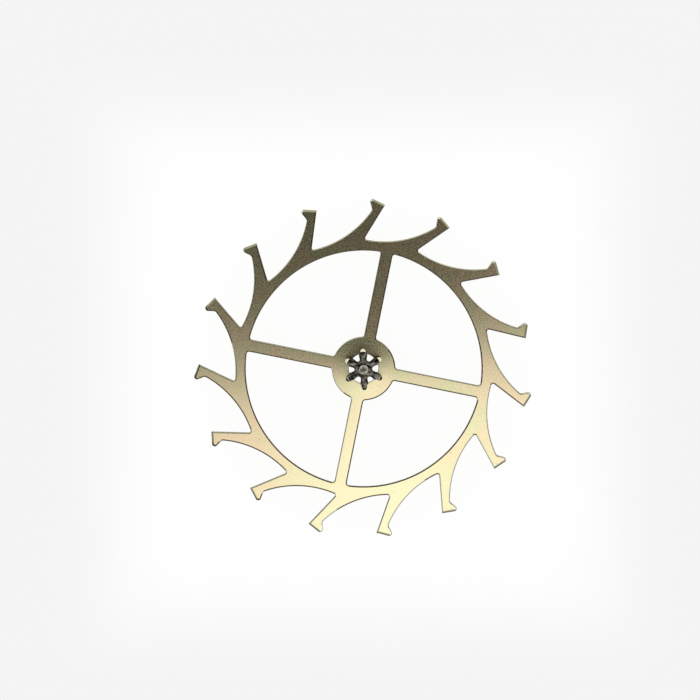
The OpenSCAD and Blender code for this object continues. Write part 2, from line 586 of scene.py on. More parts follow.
class Wiring:
    """Short ways to place and link the nodes of one tree."""

    def __init__(self, tree: bpy.types.NodeTree) -> None:
        """Empties the tree."""
        self.tree = tree
        tree.nodes.clear()

    def node(self, kind: str, values: dict | None = None, **settings: object) -> bpy.types.Node:
        """Adds a node.

        Args:
            kind: Its type name without "ShaderNode".
            values: Inputs by name or number, each a plain value or an output to link.
            **settings: The node's own properties.

        Returns:
            The node.
        """
        made = self.tree.nodes.new("ShaderNode" + kind)
        for name, value in settings.items():
            setattr(made, name, value)
        for name, value in (values or {}).items():
            self.feed(made.inputs[name], value)
        return made

    def feed(self, socket: Socket, value: object) -> None:
        """Links an output to a socket, or sets the socket's own value.

        Args:
            socket: The input socket.
            value: An output socket, or a plain value.
        """
        if isinstance(value, Socket):
            self.tree.links.new(value, socket)
        else:
            socket.default_value = value

    def maths(self, operation: str, *values: object, clamp: bool = False) -> Socket:
        """The output of a Math node.

        Args:
            operation: The node's operation.
            *values: Its inputs in order.
            clamp: Whether the result is kept between 0 and 1.

        Returns:
            The output socket.
        """
        inputs = dict(enumerate(values))
        return self.node("Math", inputs, operation=operation, use_clamp=clamp).outputs[0]

    def times(self, first: object, second: object) -> Socket:
        """The product of two values."""
        return self.maths("MULTIPLY", first, second)

    def noise(self, place: Socket, scale: object, **values: float) -> Socket:
        """The value of a Noise Texture.

        Args:
            place: Where it is looked up.
            scale: Its scale, a number or an output.
            **values: Its other inputs.

        Returns:
            The output socket.
        """
        return self.node("TexNoise", {"Vector": place, "Scale": scale, **values}).outputs[0]

    def ramp(self, value: object, low: float, high: float) -> Socket:
        """A value eased from one range into 0 to 1, and held at both ends.

        Args:
            value: The value or output.
            low: Where the result is 0.
            high: Where it is 1; it may lie below low.

        Returns:
            The output socket.
        """
        inputs = {0: value, 1: low, 2: high, 3: 0.0, 4: 1.0}
        return self.node("MapRange", inputs, interpolation_type="SMOOTHSTEP").outputs[0]

    def blend(self, share: object, first: object, second: object) -> Socket:
        """A colour between two others.

        Args:
            share: Share of the second, from 0 to 1.
            first: First colour.
            second: Second colour.

        Returns:
            The output socket.
        """
        colours = [c if isinstance(c, Socket) else (*c, 1.0) for c in (first, second)]
        inputs = {0: share, 6: colours[0], 7: colours[1]}
        return self.node("Mix", inputs, data_type="RGBA", clamp_factor=True).outputs[2]

    def vector(self, operation: str, first: object, second: object = (0.0, 0.0, 0.0)) -> Socket:
        """The output of a Vector Math node.

        Args:
            operation: The node's operation.
            first: First vector.
            second: Second vector, where the operation has one.

        Returns:
            The length or distance where the operation gives one, or else the vector.
        """
        outputs = self.node("VectorMath", {0: first, 1: second}, operation=operation).outputs
        return outputs["Value"] if operation in ("LENGTH", "DISTANCE") else outputs[0]

    def parts(self, vector: Socket) -> Sequence[Socket]:
        """The x, y and z of a vector."""
        return self.node("SeparateXYZ", {0: vector}).outputs

    def millimetres(self) -> Socket:
        """The place on the object, in millimetres."""
        return self.vector("MULTIPLY", self.node("TexCoord").outputs["Object"], (1 / MM,) * 3)

    def off_axis(self, place: Socket) -> Socket:
        """How far a place is from the arbor's axis."""
        return self.vector("LENGTH", self.vector("MULTIPLY", place, (1.0, 1.0, 0.0)))

    def wear(self) -> Socket:
        """The wear value of the mesh's corners."""
        return self.node("Attribute", attribute_name="edge_wear_and_painted_light").outputs["Fac"]

    def group(self, tree: bpy.types.NodeTree, values: dict) -> Sequence[Socket]:
        """The outputs of a node group placed with its own values."""
        return self.node("Group", values, node_tree=tree).outputs


def new_group(name: str, inputs: dict[str, float | None],
              outputs: Sequence[str]) -> tuple[Wiring, Sequence[Socket], Sequence[Socket]]:
    """Starts a shader node group.

    Args:
        name: Its name.
        inputs: Default value of each input, or None for a vector.
        outputs: Names of the outputs, which are all values.

    Returns:
        The wiring, the group's inputs and its outputs.
    """
    tree = bpy.data.node_groups.new(name, "ShaderNodeTree")
    for label, value in inputs.items():
        kind = "NodeSocketVector" if value is None else "NodeSocketFloat"
        socket = tree.interface.new_socket(label, in_out="INPUT", socket_type=kind)
        if value is not None:
            socket.default_value = value
    for label in outputs:
        tree.interface.new_socket(label, in_out="OUTPUT", socket_type="NodeSocketFloat")
    wiring = Wiring(tree)
    given, result = (tree.nodes.new("NodeGroup" + kind) for kind in ("Input", "Output"))
    return wiring, given.outputs, result.inputs


@lru_cache(maxsize=None)
def matt_grain() -> bpy.types.NodeTree:
    """Fine frosted grain of a gilded or etched metal: a tone that mottles and a height.

    Returns:
        The node group.
    """
    crisper, crisp_share = 2.3, 0.35
    grain_span, cloud_span = (0.3, 0.7), (0.32, 0.68)
    w, given, result = new_group(
        "matt_grain", {"Place": None, "Grain Size": 0.03, "Cloud Size": 0.4},
        ("Grain", "Clouds", "Height"),
    )
    place = given["Place"]
    scales = [w.maths("DIVIDE", many, given["Grain Size"]) for many in (1.0, crisper)]
    fine = w.noise(place, scales[0], Detail=3.0, Roughness=0.6)
    crisp = w.noise(place, scales[1], Detail=1.0, Roughness=0.5)
    cloud_scale = w.maths("DIVIDE", 1.0, given["Cloud Size"])
    clouds = w.noise(place, cloud_scale, Detail=4.0, Roughness=0.55, Distortion=0.4)
    w.feed(result["Grain"], w.ramp(fine, *grain_span))
    w.feed(result["Clouds"], w.ramp(clouds, *cloud_span))
    w.feed(result["Height"], w.maths("MULTIPLY_ADD", crisp, crisp_share, fine))
    return w.tree


@lru_cache(maxsize=None)
def small_pits() -> bpy.types.NodeTree:
    """Scattered small pits: a mask that is 1 in the middle of a pit, and its height, 0 or below.

    Returns:
        The node group.
    """
    smallest, spread = 0.4, 0.8
    steepness, rim_softness = 2.0, 0.3
    w, given, result = new_group(
        "small_pits", {"Place": None, "Spacing": 0.5, "Pit Radius": 0.04, "Share": 0.3},
        ("Pit", "Height"),
    )
    scale = w.maths("DIVIDE", 1.0, given["Spacing"])
    cells = w.node("TexVoronoi", {"Vector": given["Place"], "Scale": scale, "Randomness": 1.0})
    away = w.times(cells.outputs["Distance"], given["Spacing"])
    chance = w.node("SeparateColor", {0: cells.outputs["Color"]}).outputs
    picked = w.maths("LESS_THAN", chance[0], given["Share"])
    radius = w.times(given["Pit Radius"], w.maths("MULTIPLY_ADD", chance[1], spread, smallest))
    depth = w.maths("SUBTRACT", 1.0, w.maths("DIVIDE", away, radius), clamp=True)
    bowl = w.maths("SMOOTH_MIN", w.times(depth, steepness), 1.0, rim_softness)
    pit = w.maths("MULTIPLY", bowl, picked, clamp=True)
    w.feed(result["Pit"], pit)
    w.feed(result["Height"], w.times(pit, -1.0))
    return w.tree


@lru_cache(maxsize=None)
def upright_mask() -> bpy.types.NodeTree:
    """Mask that is 1 on upright sides and 0 on level faces.

    Returns:
        The node group.
    """
    upright_span = (0.78, 0.5)
    w, _, result = new_group("upright_mask", {}, ("Side",))
    upward = w.parts(w.node("TexCoord").outputs["Normal"])[2]
    w.feed(result["Side"], w.ramp(w.maths("ABSOLUTE", upward), *upright_span))
    return w.tree


@lru_cache(maxsize=None)
def fine_lines() -> bpy.types.NodeTree:
    """Fine lines left by turning or polishing, along one of the axes of the given place.

    Returns:
        The node group.
    """
    line_span = (0.35, 0.65)
    w, given, result = new_group(
        "fine_lines", {"Place": None, "Line Width": 0.01, "Line Length": 0.4}, ("Lines", "Height"),
    )
    x, y, z = w.parts(given["Place"])
    over = w.maths("DIVIDE", x, given["Line Width"])
    along = w.maths("DIVIDE", y, given["Line Length"])
    place = w.node("CombineXYZ", {0: over, 1: along, 2: z}).outputs[0]
    noise = w.noise(place, 1.0, Detail=3.0, Roughness=0.65)
    w.feed(result["Lines"], w.ramp(noise, *line_span))
    w.feed(result["Height"], noise)
    return w.tree


@dataclass(frozen=True)
class Grain:
    """Frosted grain and clouds of tone, with their sizes in millimetres."""

    size: float
    clouds: float

    def on(self, w: Wiring, place: Socket) -> Sequence[Socket]:
        """The grain at a place of a material."""
        values = {"Place": place, "Grain Size": self.size, "Cloud Size": self.clouds}
        return w.group(matt_grain(), values)


@dataclass(frozen=True)
class Pits:
    """Small pits: spacing and radius in millimetres, and the share of places that have one."""

    spacing: float
    radius: float
    share: float

    def on(self, w: Wiring, place: Socket) -> Sequence[Socket]:
        """The pits at a place of a material."""
        sizes = {"Spacing": self.spacing, "Pit Radius": self.radius, "Share": self.share}
        return w.group(small_pits(), {"Place": place, **sizes})


@dataclass(frozen=True)
class Patch:
    """A soft round patch of another tone: middle and reach in millimetres, share and colour."""

    middle: Point
    reach: float
    share: float
    colour: Colour
    core: float = 0.2

    def over(self, w: Wiring, place: Socket, tone: Socket) -> Socket:
        """Lays the patch over a tone.

        Args:
            w: The material's wiring.
            place: The place on the object, in millimetres.
            tone: The tone below.

        Returns:
            The tone with the patch.
        """
        away = w.vector("DISTANCE", place, self.middle)
        mask = w.ramp(away, self.reach, self.core * self.reach)
        return w.blend(w.times(mask, self.share), tone, self.colour)


def new_material(name: str) -> tuple[bpy.types.Material, Wiring, Socket]:
    """A material with an empty tree.

    Args:
        name: Its name.

    Returns:
        The material, its wiring and the input for its surface.
    """
    material = bpy.data.materials.new(name)
    material.use_nodes = True
    w = Wiring(material.node_tree)
    return material, w, w.node("OutputMaterial").inputs[0]


def metal(w: Wiring, surface: Socket, tone: Socket, rough: Socket, height: Socket) -> None:
    """Ends the tree of a metal.

    Args:
        w: The material's wiring.
        surface: The input for its surface.
        tone: Its colour.
        rough: Its roughness.
        height: Its relief in millimetres.
    """
    bump = w.node("Bump", {"Height": height, "Distance": MM, "Strength": 1.0}).outputs[0]
    shader = w.node("BsdfPrincipled", {
        "Base Color": tone, "Metallic": 1.0, "Roughness": rough, "Normal": bump,
    })
    w.feed(surface, shader.outputs[0])


def seen_by(w: Wiring) -> Socket:
    """Tells the rays that see a surface as the camera does from those that only light.

    Args:
        w: The wiring of the material or world.

    Returns:
        1 for the camera and for what metal and glass show, 0 for other rays.
    """
    path = w.node("LightPath")
    total: object = 0.0
    for ray in Ray:
        total = w.maths("MAXIMUM", total, path.outputs[ray.value])
    return total


# Finishes


@dataclass(frozen=True)
class MattGilding:
    """Pale matt gilding on brass: frosted grain, soft clouds of tone and a few pits, with painted
    shade on the upright sides, on edges that face away and on some heels and tips, and a painted
    highlight on the heels.

    Lengths are in millimetres. A shade is the share of the darker tone where a mask is full, and a
    span holds the values at which a mask is 0 and 1.
    """

    gold: Colour = (0.90, 0.79, 0.49)
    olive: Colour = (0.80, 0.79, 0.46)
    peach: Colour = (0.96, 0.75, 0.49)
    lemon: Colour = (0.89, 0.86, 0.54)
    eased: Colour = (0.64, 0.62, 0.44)
    # Dark painted shade on edges that face away from the light and on the windows' rim edges
    edge_shade: Colour = (0.12, 0.10, 0.065)
    # Near-white painted highlight on the heels
    polished: Colour = (0.97, 0.98, 0.91)
    bevel: Colour = (0.40, 0.39, 0.27)
    # Near-black painted shade on the upright sides, also used for the painted shade on heels and
    # tips
    side: Colour = (0.08, 0.065, 0.035)
    pit: Colour = (0.10, 0.08, 0.05)
    gold_least: float = 0.15
    gold_spread: float = 0.2
    side_shade: float = 0.9
    pit_shade: float = 0.85
    speck_shade: float = 0.7
    roughness: float = 0.26
    grain_roughness: float = 0.04
    edge_roughness: float = 0.17
    grain: Grain = Grain(0.04, 0.8)
    grain_height: float = 0.0003
    pits: Pits = Pits(0.5, 0.03, 0.25)
    specks: Pits = Pits(0.14, 0.017, 0.3)
    pit_depth: float = 0.004
    lapped_lean: float = 0.066
    patches: tuple[Patch, ...] = (
        Patch((-2.1, -2.2, 0.86), 3.0, 0.6, peach),
        Patch((0.6, -3.2, 0.86), 3.2, 0.7, lemon),
    )
    # Middle and reach of the painted shade on heels and tips towards the lower left
    heel_tip_shade_middle: Point = (-3.62, -1.43, 0.86)
    heel_tip_shade_span: Span = (4.4, 2.6)
    tip_span: Span = (3.955, 3.975)
    tip_wear_span: Span = (0.2, 0.5)
    heel_wear_span: Span = (0.5, 0.6)
    bevel_wear_span: Span = (0.95, 0.85)

    def clean(self, w: Wiring, place: Socket, worn: Socket, grain: Sequence[Socket]) -> Socket:
        """Colour of the gilding before the painted shade on heels and tips, from the flat faces to
        the bevels, with painted shade on edges that face away and a painted highlight on the heels.

        Args:
            w: The material's wiring.
            place: The place on the object, in millimetres.
            worn: The wear value.
            grain: The grain's outputs.

        Returns:
            The colour.
        """
        tone = w.blend(grain["Clouds"], self.olive, self.peach)
        share = w.maths("MULTIPLY_ADD", grain["Grain"], self.gold_spread, self.gold_least)
        tone = w.blend(share, tone, self.gold)
        for patch in self.patches:
            tone = patch.over(w, place, tone)
        finishes = (
            (SHADED_EDGE_SPAN, self.edge_shade), (EASED_SPAN, self.eased),
            (POLISHED_HIGHLIGHT_SPAN, self.polished), (BEVEL_SPAN, self.bevel),
        )
        for span, colour in finishes:
            tone = w.blend(w.ramp(worn, *span), tone, colour)
        return tone

    def heel_tip_shade(self, w: Wiring, place: Socket, worn: Socket) -> Socket:
        """Mask of the painted shade on the polished heels and the tips of a few teeth towards the
        lower left.

        Args:
            w: The material's wiring.
            place: The place on the object, in millimetres.
            worn: The wear value.

        Returns:
            The mask.
        """
        heel = w.times(w.ramp(worn, *self.heel_wear_span), w.ramp(worn, *self.bevel_wear_span))
        tip = w.ramp(w.off_axis(place), *self.tip_span)
        tip = w.times(tip, w.ramp(worn, *self.tip_wear_span))
        away = w.vector("DISTANCE", place, self.heel_tip_shade_middle)
        return w.times(w.maths("MAXIMUM", heel, tip), w.ramp(away, *self.heel_tip_shade_span))

    def material(self) -> bpy.types.Material:
        """Wires the finish.

        Returns:
            The material.
        """
        material, w, surface = new_material("gilded_brass")
        place, worn = w.millimetres(), w.wear()
        grain = self.grain.on(w, place)
        pits = self.pits.on(w, place)
        specks = self.specks.on(w, place)
        tone = self.clean(w, place, worn, grain)
        # Painted shade: heels and tips towards the lower left darken to the side tone
        tone = w.blend(self.heel_tip_shade(w, place, worn), tone, self.side)
        # Painted shade: the upright sides darken nearly to black
        upright = w.group(upright_mask(), {})["Side"]
        tone = w.blend(w.times(upright, self.side_shade), tone, self.side)
        holes = w.maths("MAXIMUM", pits["Pit"], w.times(specks["Pit"], self.speck_shade))
        tone = w.blend(w.times(holes, self.pit_shade), tone, self.pit)
        rough = w.maths("MULTIPLY_ADD", grain["Grain"], self.grain_roughness, self.roughness)
        at_edge = w.times(w.ramp(worn, FLAT, EASED), self.edge_roughness - self.roughness)
        rough = w.maths("ADD", rough, at_edge)
        height = w.times(grain["Height"], self.grain_height)
        height = w.maths("MULTIPLY_ADD", pits["Height"], self.pit_depth, height)
        height = w.maths("MULTIPLY_ADD", w.off_axis(place), -self.lapped_lean, height)
        metal(w, surface, tone, rough, height)
        return material


@dataclass(frozen=True)
class PolishedSteel:
    """Hardened steel, polished on the leaves and turned on the arbor, with a pale painted highlight
    ring at the pivots, a cream painted highlight on the leaves' chamfers and painted shade on the
    leaves' sides in the gaps.

    Lengths are in millimetres. A shade is the share of the darker tone where a mask is full, and a
    span holds the values at which a mask is 0 and 1.
    """

    steel: Colour = (0.30, 0.275, 0.23)
    dark: Colour = (0.022, 0.016, 0.012)
    # Pale painted highlight ring round the axis at the pivots and their shoulders
    turned: Colour = (0.72, 0.73, 0.64)
    # Cream painted highlight on the leaves' chamfers
    chamfer: Colour = (0.93, 0.87, 0.70)
    # Near-black tone of the pits and of the painted shade on the leaves' sides
    oil: Colour = (0.03, 0.026, 0.018)
    cloud_shade: float = 0.9
    line_shade: float = 0.25
    pit_shade: float = 0.7
    gap_shade: float = 0.92
    ring_outside: Span = (0.115, 0.095)
    ring_inside: Span = (0.035, 0.055)
    ring_least: float = 0.1
    ring_spread: float = 1.1
    chamfer_span: Span = (0.6, 0.95)
    gap_shade_inward: Span = (0.50, 0.36)
    gap_shade_downward: Span = (1.708, 1.69)
    roughness: float = 0.11
    grain_roughness: float = 0.08
    oil_roughness: float = 0.3
    grain: Grain = Grain(0.02, 0.16)
    pits: Pits = Pits(0.12, 0.012, 0.2)
    pit_depth: float = 0.002
    line_width: float = 0.012
    line_length: float = 0.5
    line_height: float = 0.0004
    wave_scale: float = 6.0
    wave_detail: float = 1.5
    wave_height: float = 0.013

    def turning_lines(self, w: Wiring, upward: Socket, off_axis: Socket) -> Sequence[Socket]:
        """The rings that turning leaves round the axis.

        Args:
            w: The material's wiring.
            upward: Height of the place.
            off_axis: Distance of the place from the axis.

        Returns:
            Outputs of the group of fine lines.
        """
        section = {0: w.maths("ADD", upward, off_axis), 1: 0.0, 2: off_axis}
        place = w.node("CombineXYZ", section).outputs[0]
        sizes = {"Line Width": self.line_width, "Line Length": self.line_length}
        return w.group(fine_lines(), {"Place": place, **sizes})

    def ring(self, w: Wiring, off_axis: Socket, grain: Socket) -> Socket:
        """Mask of the painted highlight ring round the axis at the arbor's ends.

        Args:
            w: The material's wiring.
            off_axis: Distance of the place from the axis.
            grain: The grain's tone, which breaks up the ring.

        Returns:
            The mask.
        """
        ring = w.times(w.ramp(off_axis, *self.ring_outside), w.ramp(off_axis, *self.ring_inside))
        broken = w.maths("MULTIPLY_ADD", grain, self.ring_spread, self.ring_least, clamp=True)
        return w.times(ring, broken)

    def material(self) -> bpy.types.Material:
        """Wires the finish.

        Returns:
            The material.
        """
        material, w, surface = new_material("polished_steel")
        place, worn = w.millimetres(), w.wear()
        upward, off_axis = w.parts(place)[2], w.off_axis(place)
        lines = self.turning_lines(w, upward, off_axis)
        grain = self.grain.on(w, place)
        pits = self.pits.on(w, place)
        tone = w.blend(w.times(grain["Clouds"], self.cloud_shade), self.steel, self.dark)
        # Painted highlight: a pale ring round the axis at the pivots and their shoulders
        tone = w.blend(self.ring(w, off_axis, grain["Grain"]), tone, self.turned)
        tone = w.blend(w.times(lines["Lines"], self.line_shade), tone, self.dark)
        tone = w.blend(w.times(pits["Pit"], self.pit_shade), tone, self.oil)
        # Painted highlight: the leaves' chamfers turn cream
        tone = w.blend(w.ramp(worn, *self.chamfer_span), tone, self.chamfer)
        # Painted shade on the leaves' upright sides below their tops, fullest towards the axis
        oil = w.times(w.ramp(off_axis, *self.gap_shade_inward), w.ramp(upward, *self.gap_shade_downward))
        oil = w.times(oil, w.group(upright_mask(), {})["Side"])
        tone = w.blend(w.times(oil, self.gap_shade), tone, self.oil)
        rough = w.maths("MULTIPLY_ADD", grain["Grain"], self.grain_roughness, self.roughness)
        rough = w.maths("MULTIPLY_ADD", oil, self.oil_roughness, rough)
        waves = w.noise(place, self.wave_scale, Detail=self.wave_detail)
        height = w.times(lines["Height"], self.line_height)
        height = w.maths("MULTIPLY_ADD", waves, self.wave_height, height)
        height = w.maths("MULTIPLY_ADD", pits["Height"], self.pit_depth, height)
        metal(w, surface, tone, rough, height)
        return material


@dataclass(frozen=True)
class PaleFloor:
    """Matt white floor that shows as white, keeps a soft shadow and greys a little outwards.

    near and far are where the grey starts and is full, in millimetres.
    """

    white: Colour = WHITE
    grey: Colour = (0.905, 0.905, 0.905)
    own_light: float = 0.9
    near: float = 4.6
    far: float = 7.8
    corner_softness: float = 2.0
    paper_scale: float = 0.8
    paper_detail: float = 2.0
    paper_drift: float = 0.5
    roughness: float = 0.5

    def material(self) -> bpy.types.Material:
        """Wires the finish.

        Returns:
            The material.
        """
        material, w, surface = new_material("pale_floor")
        place = w.millimetres()
        away = [w.maths("ABSOLUTE", part) for part in w.parts(place)[:2]]
        off = w.maths("SMOOTH_MAX", *away, self.corner_softness)
        paper = w.noise(place, self.paper_scale, Detail=self.paper_detail)
        shade = w.ramp(w.maths("MULTIPLY_ADD", paper, self.paper_drift, off), self.near, self.far)
        tone = w.blend(shade, self.white, self.grey)
        matt = w.node("BsdfDiffuse", {"Color": tone, "Roughness": self.roughness}).outputs[0]
        glow = w.node("Emission", {"Color": tone, "Strength": 1.0}).outputs[0]
        both = w.node("MixShader", {0: self.own_light, 1: matt, 2: glow}).outputs[0]
        mixed = w.node("MixShader", {0: seen_by(w), 1: matt, 2: both})
        w.feed(surface, mixed.outputs[0])
        return material


# The two pieces


@dataclass
class EscapeWheel:
    """The gilded blank: club teeth, rim, arms and hub, cut from one sheet.

    Sizes are in millimetres and degrees, and steps say how finely a curve is cut.
    """

    heel_r: float = 4.0
    toe_r: float = 3.89
    neck_r: float = 3.75
    root_r: float = 3.02
    window_r: float = 2.78
    hub_r: float = 0.75
    bore_r: float = 0.35
    bottom: float = 0.64
    top: float = 0.86
    tooth_count: int = 15
    tooth_turn: float = 2.1
    lock_angle: float = 24.0
    impulse_angle: float = 19.0
    heel_flare: float = 23.5
    heel_crown: float = 35.0
    heel_round: float = 0.065
    back_r: float = 2.32
    root_fillet: float = 0.045
    neck_fillet: float = 0.08
    bevel: float = 0.05
    arm_count: int = 4
    arm_w: float = 0.29
    arm_fillet: float = 0.06
    rivet_sink: float = 0.05
    upper_round: float = 0.032
    window_round: float = 0.03
    heel_ease: float = 2.0
    lower_round: float = 0.012
    bore_round: float = 0.01
    lock_steps: int = 3
    impulse_steps: int = 2
    heel_steps: tuple[int, int] = (9, 10)
    neck_steps: int = 5
    scoop_steps: int = 30
    fillet_steps: int = 7
    arm_steps: int = 6
    hub_steps: int = 20
    rim_steps: int = 64
    bore_steps: int = 120
    # Edges that face away from these sides get dark painted shade instead of the eased tone
    side_shading: ShadedSide = ShadedSide(146.0, -0.1)
    back_shading: ShadedSide = ShadedSide(81.0, -0.6)
    finish: MattGilding = MattGilding()

    def bevelled(self, marks: Stretch, radius: float = 0.0, first: float = 1.0, last: float = 1.0,
                 least: float = EASED) -> Stretch:
        """A stretch of the tooth's head, with the bevel of the impulse face.

        Args:
            marks: The stretch.
            radius: Its radius, or 0 for a straight one.
            first: Ease of its upper edge at the start.
            last: Ease of its upper edge at the end.
            least: Wear value where the edge is eased as usual.

        Returns:
            The marks with bevel, ease and wear.
        """
        bevel_out = direction(-self.impulse_angle)
        made = []
        for m, turn in zip(marks, quarter_turn(len(marks) - 1)):
            ease = first + (last - first) * math.sin(turn) ** 2
            wear = least + (POLISHED_HIGHLIGHT - least) * (ease - 1) / (self.heel_ease - 1)
            fall = radius * (1 - across(m.out, bevel_out))
            made.append(Mark(m.at, m.out, bevel_out, fall, ease, wear))
        return made

    def heel(self, centre: complex) -> Stretch:
        """The rounded heel, polished from its crown on, where the gilding paints a near-white
        highlight.

        Args:
            centre: Centre of its round.

        Returns:
            The marks from the impulse face to the back of the head.
        """
        first, crown, last = (
            math.radians(a) for a in (-self.impulse_angle, self.heel_crown, 90 + self.heel_flare)
        )
        r, steps = self.heel_round, self.heel_steps
        start = self.bevelled(arc(centre, r, first, crown, steps[0]), r, 1.0, self.heel_ease)
        end = arc(centre, r, crown, last, steps[1])
        return start + self.bevelled(end, r, self.heel_ease, 1.0, POLISHED_HIGHLIGHT)[1:]

    def tooth(self) -> list[Stretch]:
        """One tooth, from the foot of its locking face to the foot of the next tooth.

        Returns:
            Locking face, impulse face, heel, the head's back, neck, scooped back and root fillet.
        """
        # The head: the heel's round touches the impulse face and the circle of the heels
        toe = complex(self.toe_r, 0)
        impulse_way = direction(90 - self.impulse_angle)
        impulse_out = direction(-self.impulse_angle)
        heel_way = direction(self.heel_flare)
        heel_out = direction(90 + self.heel_flare)
        start = toe - self.heel_round * impulse_out
        hold = reach(start, impulse_way, 0j, self.heel_r - self.heel_round, 1)
        heel_c = start + hold * impulse_way
        heel_top = heel_c + self.heel_round * impulse_out
        heel_back = heel_c + self.heel_round * heel_out

        # The back: one scoop that touches the root circle and runs through the neck
        neck = heel_back - reach(heel_back, -heel_way, 0j, self.neck_r, -1) * heel_way
        scoop_r = self.root_r + self.back_r
        triangle = scoop_r ** 2 + self.neck_r ** 2 - self.back_r ** 2
        lag = math.acos(triangle / (2 * scoop_r * self.neck_r))
        scoop_c = cmath.rect(scoop_r, cmath.phase(neck) + lag)

        # The neck's fillet touches the head's back and the scoop
        start = neck + self.neck_fillet * heel_out
        hold = reach(start, heel_way, scoop_c, self.back_r - self.neck_fillet, -1)
        neck_c = start + hold * heel_way
        neck_first = math.radians(self.heel_flare - 90)
        neck_last = cmath.phase(neck_c - scoop_c)
        neck_arc = hollow(neck_c, self.neck_fillet, neck_first, neck_last, self.neck_steps)
        # The back of the head carries on the heel's painted highlight, then the eased tone
        wears = (POLISHED_HIGHLIGHT, POLISHED_HIGHLIGHT, EASED)
        heel_side = straight(heel_back, neck_arc[0].at, len(wears) - 1)

        # The root fillet touches the scoop and the next tooth's locking face
        lock_in = -direction(-self.lock_angle)
        lock_out = -1j * -lock_in
        pitch = direction(360 / self.tooth_count)
        start = toe + self.root_fillet * lock_out
        hold = reach(start, lock_in, scoop_c / pitch, self.back_r - self.root_fillet, 1)
        fillet_c = start + hold * lock_in
        lock_foot = fillet_c - self.root_fillet * lock_out
        next_c = fillet_c * pitch
        root = cmath.phase(next_c - scoop_c)
        to_lock = cmath.phase(-lock_out * pitch)
        return [
            straight(lock_foot, toe, self.lock_steps),
            self.bevelled(straight(toe, heel_top, self.impulse_steps)),
            self.heel(heel_c),
            [replace(m, wear=wear) for m, wear in zip(heel_side, wears)],
            neck_arc,
            hollow(scoop_c, self.back_r, neck_last % math.tau, root, self.scoop_steps),
            hollow(next_c, self.root_fillet, root % math.tau, to_lock, self.fillet_steps),
        ]

    def toothed_outline(self) -> list[Stretch]:
        """Turns the tooth round the wheel.

        Returns:
            The outside of the wheel, anticlockwise.
        """
        lock, impulse, heel, *back, fillet = self.tooth()
        made: list[Stretch] = []
        for k in range(self.tooth_count):
            turn = direction(k * 360 / self.tooth_count - self.tooth_turn)
            made.append(self.side_shading.over(lock, turn))
            made.extend([m.turned(turn) for m in stretch] for stretch in (impulse, heel))
            made.extend(self.back_shading.over(stretch, turn) for stretch in back)
            made.append(self.side_shading.over(fillet, turn))
        return made

    def window(self) -> list[Stretch]:
        """The window after the first arm.

        Returns:
            Its outline, clockwise, so that the metal is on its left.
        """
        r, steps = self.arm_fillet, self.fillet_steps
        side_y = self.arm_w / 2
        centre_y = side_y + r
        quarter = direction(360 / self.arm_count)
        hub_c = complex(math.sqrt((self.hub_r + r) ** 2 - centre_y ** 2), centre_y)
        rim_c = complex(math.sqrt((self.window_r - r) ** 2 - centre_y ** 2), centre_y)
        hub_d = hub_c.conjugate() * quarter
        rim_d = rim_c.conjugate() * quarter
        down, side = -math.pi / 2, cmath.phase(1j * quarter)
        to_side = cmath.rect(r, side)
        hub_a, rim_a, hub_e, rim_e = (cmath.phase(c) for c in (hub_c, rim_c, hub_d, rim_d))
        rim = arc(0j, self.window_r, rim_e, rim_a, self.rim_steps)
        return [
            straight(complex(rim_c.real, side_y), complex(hub_c.real, side_y), self.arm_steps),
            hollow(hub_c, r, down, hub_a + math.pi, steps),
            arc(0j, self.hub_r, hub_a, hub_e, self.hub_steps),
            hollow(hub_d, r, hub_e + math.pi, side, steps),
            straight(hub_d + to_side, rim_d + to_side, self.arm_steps),
            hollow(rim_d, r, side, rim_e, steps),
            # The rim's edge in each window gets the dark painted shade all round
            [replace(m, wear=SHADED_EDGE) for m in rim],
            hollow(rim_c, r, rim_a, down, steps),
        ]

    def piece(self) -> bpy.types.Object:
        """The wheel as one closed mesh.

        Returns:
            The object.
        """
        faces = (self.bottom, self.top)
        toothed = EdgeForm(*faces, self.upper_round, self.lower_round, self.bevel, self.heel_ease)
        plain = EdgeForm(*faces, self.window_round, self.lower_round)
        skin, window = Skin(), self.window()
        loops = [skin.sheet_sides(self.toothed_outline(), toothed)]
        for k in range(self.arm_count):
            turn = direction(k * 360 / self.arm_count)
            outline = [self.side_shading.over(stretch, turn) for stretch in window]
            loops.append(skin.sheet_sides(outline, plain))
        r, c, sink = self.bore_r, self.bore_round, self.rivet_sink
        bore = [
            (r + c, self.top), (r + c * ROUND_MIDDLE, self.top - c * ROUND_MIDDLE),
            (r, self.top - c), (r, self.bottom + sink), (r + sink, self.bottom),
        ]
        rings = skin.turned_surface(bore, [False, True, True, False, False], self.bore_steps)
        skin.flat([high for _, high in loops] + [rings[0]], True)
        skin.flat([low for low, _ in loops] + [rings[-1]], False)
        made = skin.piece("gilded_escape_wheel", self.finish.material())
        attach(made, "root")
        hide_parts("escape_wheel")
        return made


@dataclass(frozen=True)
class Level:
    """A ring of the leaves.

    z is its height and blank_r the radius of the turned blank there. inset is how far the rounded
    upper edge draws the outline in, and oil the share of the dried oil's full thickness.
    """

    z: float
    blank_r: float
    inset: float = 0.0
    oil: float = 0.0


